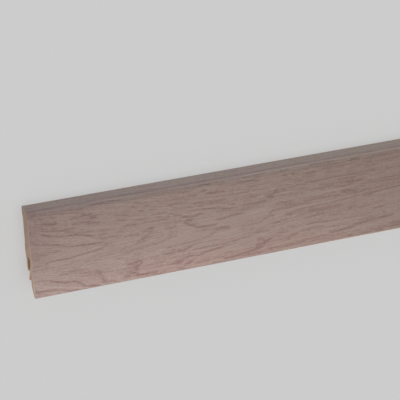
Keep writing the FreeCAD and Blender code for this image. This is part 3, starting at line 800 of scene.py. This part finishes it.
def speckle_effect():
    """Wood fibres pressed into board: fine light and dark specks, and their relief."""
    tree, given, result = effect("pressed fibre", [
        ("Vector", "Vector", None),
        ("Fibre Size", "Vector", (1400.0, 1400.0, 1400.0)),
    ], ["Specks", "Clouds", "Relief"])
    specks = stretched_noise(tree, given["Vector"], given["Fibre Size"], 4.0, 0.7)
    clouds = stretched_noise(tree, given["Vector"], (180.0, 180.0, 180.0), 3.0, 0.6, (4.0, 9.0, 2.0))
    feed(tree, result, {
        "Specks": remap(tree, specks, 0.3, 0.7, 0.0, 1.0),
        "Clouds": remap(tree, clouds, 0.3, 0.7, 0.0, 1.0),
        "Relief": specks,
    })
    return tree


def cut_wear_and_highlight_effect():
    """Thin pale line beside the two saw cuts, uneven in width: worn foil with a painted highlight on the cut corner.
    """
    tree, given, result = effect("painted highlight and worn foil beside the cuts", [
        ("Position", "Vector", None),
        ("Half Length", "Float", LENGTH * MM / 2),
        ("Width", "Float", 0.0004),
    ], ["Wear And Highlight"])
    parts = add(tree, "ShaderNodeSeparateXYZ", {0: given["Position"]})
    reach = calc(tree, "ABSOLUTE", parts.outputs["X"])
    inward = calc(tree, "SUBTRACT", given["Half Length"], reach)
    uneven = stretched_noise(tree, given["Position"], (900.0, 900.0, 900.0), 2.0, 0.6)
    edge = calc(tree, "MULTIPLY", given["Width"], remap(tree, uneven, 0.3, 0.7, 0.5, 1.6))
    share = calc(tree, "DIVIDE", inward, edge)
    feed(tree, result, {"Wear And Highlight": remap(tree, share, 0.6, 1.2, 1.0, 0.0)})
    return tree


def edge_light_and_shade_effect():
    """Painted light and shade where the foil bends: a painted highlight line between two dark lines that are printed
    streaks and painted shade along the top edge, painted light on the back of the top, and painted shade on the foot.
    """
    tree, given, result = effect("painted light and shade at the foil's bends", [
        ("Board", "Vector", None),
        ("Back Line At", "Float", -0.0031),
        ("Pale Line At", "Float", -0.00075),
        ("Front Line At", "Float", -0.00015),
    ], ["Back Line", "Pale Line", "Front Line", "Pale Back", "Painted Foot Shade"])
    parts = add(tree, "ShaderNodeSeparateXYZ", {0: given["Board"]}).outputs
    down = parts["Y"]
    # The back and front lines are printed streaks and painted shade on the top edge's rounding; the pale line is a
    # painted highlight.
    for name, wide, start in (
        ("Back Line", 0.0021, (5.0, 8.0, 0.0)),
        ("Pale Line", 0.0005, (0.0, 3.0, 0.0)),
        ("Front Line", 0.0012, (2.0, 5.0, 0.0)),
    ):
        # Each line sways to both sides of its place and comes and goes in strength.
        sway = stretched_noise(tree, given["Board"], (45.0, 0.0, 0.0), 3.0, 0.6, start)
        middle = calc(tree, "MULTIPLY_ADD", calc(tree, "SUBTRACT", sway, 0.5), 0.0008, given[name + " At"])
        away = calc(tree, "ABSOLUTE", calc(tree, "SUBTRACT", down, middle))
        line = remap(tree, away, 0.0, wide, 1.0, 0.0)
        strength = stretched_noise(tree, given["Board"], (28.0, 0.0, 0.0), 2.0, 0.6, (9.0, start[1], 0.0))
        line = calc(tree, "MULTIPLY", line, remap(tree, strength, 0.35, 0.65, 0.4, 1.0))
        # The pale line is a painted highlight on the top edge's rounding, fainter towards the left end.
        if name == "Pale Line":
            line = calc(tree, "MULTIPLY", line, remap(tree, parts["X"], 0.02, 0.15, 0.3, 1.0))
        feed(tree, result, {name: line})
    # Painted shade on the bend at the foot: it starts 57 mm down, and fades along the board.
    foot = remap(tree, down, 0.0571, 0.058, 0.0, 1.0)
    fading = remap(tree, parts["X"], 0.13, 0.21, 1.0, 0.35)
    feed(tree, result, {
        # Painted light: the top face is lighter towards the wall edge.
        "Pale Back": remap(tree, down, -0.011, -0.006, 1.0, 0.0),
        "Painted Foot Shade": calc(tree, "MULTIPLY", foot, fading),
    })
    return tree


def use(tree, shared, feeds):
    """Outputs of one use of a shared effect in a material."""
    return add(tree, "ShaderNodeGroup", feeds, node_tree=shared).outputs


def finish_material(name):
    """Empty material with its shader, and the tree that holds both."""
    material = bpy.data.materials.new(name)
    material.use_nodes = True
    tree = material.node_tree
    return material, tree, tree.nodes["Principled BSDF"]


def mix(tree, share, one, two):
    """Colour between two colours."""
    return add(tree, "ShaderNodeMix", {0: share, 6: one, 7: two}, data_type="RGBA").outputs[2]


def bump(tree, height, distance, strength):
    """Fine relief for a shader."""
    return add(tree, "ShaderNodeBump", {"Height": height, "Distance": distance, "Strength": strength})


def oak_decor(grain, wear_and_highlight, edge_light_and_shade):
    """Matt printed foil with a greyish pink oak decor."""
    material, tree, shader = finish_material("oak_decor")
    board, grain_a, grain_b = (
        add(tree, "ShaderNodeUVMap", uv_map=name).outputs[0] for name in ("BoardMap", "GrainMapA", "GrainMapB"))
    figure = add(tree, "ShaderNodeAttribute", attribute_name="figure").outputs["Fac"]
    spot = add(tree, "ShaderNodeSeparateXYZ", {0: board}).outputs
    along, down = spot["X"], spot["Y"]
    patch = calc(tree, "FRACT", calc(tree, "DIVIDE", along, PATCH * MM))
    share = calc(tree, "SUBTRACT", 1.0, calc(tree, "ABSOLUTE", calc(tree, "MULTIPLY_ADD", patch, 2.0, -1.0)))
    oak = use(tree, grain, {"Grain A": grain_a, "Grain B": grain_b, "Share of A": share})
    cuts = use(tree, wear_and_highlight, {"Position": add(tree, "ShaderNodeTexCoord").outputs["Object"]})
    bends = use(tree, edge_light_and_shade, {"Board": board})
    clouds = stretched_noise(tree, board, (16.0, 70.0, 1.0), 2.0, 0.5, (3.9, 7.7, 0.0))
    # The figure is printed as short dashes, so the finer grain breaks it up.
    broken = layered(tree, 1.3, [(oak["Streaks"], 0.0, -0.5), (oak["Specks"], 0.0, -0.5)])
    tone = layered(tree, 0.7, [
        (level, middle, GRAIN[name]) for name, level, middle in (
            ("Lines", oak["Lines"], 0.5),
            ("Fine Lines", oak["Fine Lines"], 0.5),
            ("Streaks", oak["Streaks"], 0.5),
            ("Specks", oak["Specks"], 0.5),
            ("Clouds", clouds, 0.5),
            ("Pores", oak["Pores"], 0.1),
            ("Figure", calc(tree, "MULTIPLY", figure, broken), 0.1),
            # Painted shade on the top edge's rounding, with printed streaks, and painted light on the back of the top
            # face.
            ("Back Line", bends["Back Line"], 0.0),
            ("Front Line", bends["Front Line"], 0.0),
            ("Pale Back", bends["Pale Back"], 0.0),
        )])
    ramp = add(tree, "ShaderNodeValToRGB", {"Fac": tone})
    stops = ramp.color_ramp.elements
    stops[0].position, stops[0].color = 0.0, OAK_DARK
    stops[1].position, stops[1].color = 1.0, OAK_PALE
    stops.new(0.5).color = OAK_MIDDLE
    hue = stretched_noise(tree, board, (450.0, 1100.0, 1.0), 3.0, 0.8, (8.2, 1.4, 0.0))
    dashes = mix(tree, remap(tree, hue, 0.35, 0.65, 0.0, 1.0), COOL_DASHES, WARM_DASHES)
    colour = mix(tree, DASHES_SHARE, ramp.outputs[0], dashes)
    colour = mix(tree, remap(tree, along, 0.0, 0.25, 0.0, FURTHER_SHARE), colour, FURTHER_ALONG)
    # One stretch low on the front is rosier than the rest, and so is the line along its top.
    low_down = remap(tree, down, 0.038, 0.052, 0.0, ROSY_SHARE)
    from_rosy = calc(tree, "ABSOLUTE", calc(tree, "SUBTRACT", along, ROSY_AT))
    rosy = calc(tree, "MULTIPLY", low_down, remap(tree, from_rosy, 0.05, 0.1, 1.0, 0.0))
    colour = mix(tree, calc(tree, "MULTIPLY_ADD", bends["Front Line"], FRONT_LINE_SHARE, rosy), colour, ROSY)
    # Painted highlight along the top edge's rounding.
    colour = mix(tree, calc(tree, "MULTIPLY", bends["Pale Line"], HIGHLIGHT_LINE_SHARE), colour, PAINTED_HIGHLIGHT)
    # Painted shade on the foot's bend.
    colour = mix(tree, calc(tree, "MULTIPLY", bends["Painted Foot Shade"], PAINTED_FOOT_SHADE_SHARE), colour, PAINTED_FOOT_SHADE)
    relief = calc(tree, "MULTIPLY_ADD", oak["Pores"], -0.6, oak["Streaks"])
    feed(tree, shader, {
        # Worn foil and a painted highlight beside the cuts.
        "Base Color": mix(tree, cuts["Wear And Highlight"], colour, WORN_AND_HIGHLIGHT),
        "Roughness": remap(tree, tone, 0.0, 1.0, 0.62, 0.52),
        "Specular IOR Level": 0.35,
        "Normal": bump(tree, relief, 0.00003, 0.5),
    })
    return material


def foil_edge(fibre):
    """Pale paper body of the foil, seen where it is cut."""
    material, tree, shader = finish_material("foil_edge")
    place = add(tree, "ShaderNodeTexCoord").outputs["Object"]
    paper = use(tree, fibre, {"Vector": place})
    feed(tree, shader, {
        "Base Color": mix(tree, paper["Specks"], *PAPER),
        "Roughness": 0.75,
        "Normal": bump(tree, paper["Relief"], 0.00004, 0.5),
    })
    return material


def fibreboard_cut(fibre):
    """Sawn end of the fibreboard: pale brown, speckled, darker towards its two faces, with painted shade towards its
    top and painted light towards its foot.
    """
    material, tree, shader = finish_material("fibreboard_cut")
    place = add(tree, "ShaderNodeTexCoord").outputs["Object"]
    board = use(tree, fibre, {"Vector": place})
    spot = add(tree, "ShaderNodeSeparateXYZ", {0: place}).outputs
    from_middle = calc(tree, "ABSOLUTE", calc(tree, "SUBTRACT", spot["Z"], BOARD_MIDDLE))
    tone = layered(tree, 0.12, [
        (board["Specks"], 0.0, 0.55),
        (board["Clouds"], 0.0, 0.25),
        (remap(tree, from_middle, 0.004, 0.01, 0.0, 1.0), 0.0, -0.12),
        # Painted light and shade: the cut end is lighter towards the foot and darker towards the top.
        (remap(tree, spot["Y"], -0.029, 0.029, 0.09, -0.14), 0.0, 1.0),
    ])
    feed(tree, shader, {
        "Base Color": mix(tree, tone, *SAWN),
        "Roughness": 0.85,
        "Specular IOR Level": 0.2,
        "Normal": bump(tree, board["Relief"], 0.0002, 0.6),
    })
    return material


def fibreboard_milled(fibre):
    """Milled faces of the fibreboard: browner than the sawn end, with fine cutter lines along the board."""
    material, tree, shader = finish_material("fibreboard_milled")
    place = add(tree, "ShaderNodeTexCoord").outputs["Object"]
    board = use(tree, fibre, {"Vector": place, "Fibre Size": (260.0, 1300.0, 1300.0)})
    lines = stretched_noise(tree, place, (3.0, 2600.0, 2600.0), 2.0, 0.5)
    tone = layered(tree, 0.1, [
        (board["Specks"], 0.0, 0.45),
        (board["Clouds"], 0.0, 0.25),
        (remap(tree, lines, 0.35, 0.65, 0.0, 1.0), 0.0, 0.2),
    ])
    feed(tree, shader, {
        "Base Color": mix(tree, tone, *MILLED),
        "Roughness": 0.8,
        "Specular IOR Level": 0.25,
        "Normal": bump(tree, calc(tree, "ADD", board["Relief"], lines), 0.00015, 0.5),
    })
    return material


# ---------------------------------------------------------------- the board

grain = grain_effect()
fibre = speckle_effect()
wear_and_highlight = cut_wear_and_highlight_effect()
edge_light_and_shade = edge_light_and_shade_effect()
finishes = {
    "decor": oak_decor(grain, wear_and_highlight, edge_light_and_shade),
    "edge": foil_edge(fibre),
    "cut": fibreboard_cut(fibre),
    "milled": fibreboard_milled(fibre),
}

tree = sweep_tree()
core = sweep("core", core_section(), tree, {
    "Start": -LENGTH * MM / 2,
    "Near Rings": 1,
    "Near Spacing": LENGTH * MM / 2,
    "Far Rings": 1,
    "Far Spacing": LENGTH * MM / 2,
    "Skin": finishes["milled"],
    "Cut End": finishes["cut"],
})
section, girth = foil_section()
foil = sweep("foil", section, tree, {
    "Start": -LENGTH * MM / 2,
    "Near Rings": NEAR_RINGS,
    "Near Spacing": NEAR_SPACING * MM,
    "Far Rings": FAR_RINGS,
    "Far Spacing": FAR_SPACING * MM,
    "Skin": finishes["decor"],
    "Cut End": finishes["edge"],
})
print_decor(foil, section, girth)
for piece in (core, foil):
    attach(piece, "root")
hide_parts("mdf_core")
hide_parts("decor_foil")

# ---------------------------------------------------------------- floor, light and camera

BACKGROUND = paint(204, 204, 204)
FLOOR_PAINT = (0.9, 0.9, 0.9, 1.0)
FLOOR_REACH = 30.0
WHITE = (1.0, 1.0, 1.0)
FOOT_COOL = (0.88, 0.96, 1.0)


def pale_floor():
    """Plain pale floor under the board."""
    mesh = bpy.data.meshes.new("floor")
    corners = [(x * FLOOR_REACH, y * FLOOR_REACH, 0.0) for x, y in ((-1, -1), (1, -1), (1, 1), (-1, 1))]
    mesh.from_pydata(corners, [], [(0, 1, 2, 3)])
    material, tree, shader = finish_material("pale_floor")
    feed(tree, shader, {"Base Color": FLOOR_PAINT, "Roughness": 0.9, "Specular IOR Level": 0.0})
    # The camera sees part of the floor as the even background, which keeps the shadow light.
    even = add(tree, "ShaderNodeEmission", {"Color": BACKGROUND, "Strength": 1.0})
    looked_at = calc(tree, "MULTIPLY", add(tree, "ShaderNodeLightPath").outputs["Is Camera Ray"], 0.68)
    both = add(tree, "ShaderNodeMixShader", {0: looked_at, 1: shader, 2: even})
    feed(tree, tree.nodes["Material Output"], {"Surface": both})
    mesh.materials.append(material)
    new_object("floor", mesh)


def studio_world(strength):
    """Even light from all round; the camera and reflections see the pale background instead."""
    world = bpy.data.worlds.new("studio")
    world.use_nodes = True
    tree = world.node_tree
    tree.nodes.clear()
    light = add(tree, "ShaderNodeBackground", {"Color": (*WHITE, 1.0), "Strength": strength})
    seen = add(tree, "ShaderNodeBackground", {"Color": BACKGROUND, "Strength": 1.0})
    path = add(tree, "ShaderNodeLightPath").outputs
    looked_at = calc(tree, "MAXIMUM", path["Is Camera Ray"], path["Is Glossy Ray"])
    looked_at = calc(tree, "MAXIMUM", looked_at, path["Is Transmission Ray"])
    both = add(tree, "ShaderNodeMixShader", {0: looked_at, 1: light, 2: seen})
    add(tree, "ShaderNodeOutputWorld", {"Surface": both})
    bpy.context.scene.world = world


def softbox(name, place, aim, size, power, colour, lit):
    """Rectangular soft light at a place, turned to a point; it may be kept to the pieces in lit."""
    data = bpy.data.lights.new(name, "AREA")
    data.shape = "RECTANGLE"
    data.size, data.size_y = size
    data.energy = power
    data.color = colour
    lamp = new_object(name, data)
    lamp.location = place
    lamp.rotation_mode = "QUATERNION"
    lamp.rotation_quaternion = (Vector(aim) - Vector(place)).to_track_quat("-Z", "Y")
    lamp.visible_camera = False
    if lit:
        # The fills only lift the shade; they don't shine back from the foil.
        lamp.visible_glossy = False
        kept = bpy.data.collections.new(name + "_lights")
        for piece in lit:
            kept.objects.link(piece)
        lamp.light_linking.receiver_collection = kept


pale_floor()
studio_world(0.4)
# Each light as name, place, point it faces, size, power, colour and the pieces it is kept to.
for light in (
    ("key", (-1.1, -0.1, 3.0), (-1.1, 0.0, 0.0), (2.4, 2.4), 29.5, WHITE, ()),
    ("foot_fill", (-1.08, -0.13, 0.06), (-1.06, 0.0, 0.01), (0.36, 0.05), 0.85, FOOT_COOL, (foil,)),
    ("top_fill", (-1.05, 0.45, 0.07), (-1.05, 0.0, 0.01), (0.5, 0.06), 1.6, (0.63, 0.86, 1.0), (core, foil)),
    ("end_fill", (-1.26, -0.12, 0.02), (-1.2, -0.01, 0.008), (0.06, 0.04), 0.12, WHITE, (core, foil)),
    ("far_foot_fill", (0.35, -0.13, 0.06), (0.35, 0.0, 0.01), (1.75, 0.05), 3.0, FOOT_COOL, (foil,)),
    ("far_top_fill", (0.35, 0.45, 0.07), (0.35, 0.0, 0.01), (1.75, 0.06), 4.0, (0.64, 0.86, 1.0), (core, foil)),
    ("far_end_fill", (1.26, -0.12, 0.02), (1.2, -0.01, 0.008), (0.06, 0.04), 0.12, WHITE, (core, foil)),
):
    softbox(*light)

camera_data = bpy.data.cameras.new("camera")
camera_data.sensor_width = 36.0
camera_data.lens = 139.03
camera_data.clip_start = 0.01
camera_data.clip_end = 100.0
camera = new_object("camera", camera_data)
camera.location = (-1.34878, 0.51391, 0.81745)
camera.rotation_euler = [math.radians(angle) for angle in (-30.1151, -18.4782, -0.9371)]
bpy.context.scene.camera = camera
bpy.context.scene.view_settings.view_transform = "Standard"
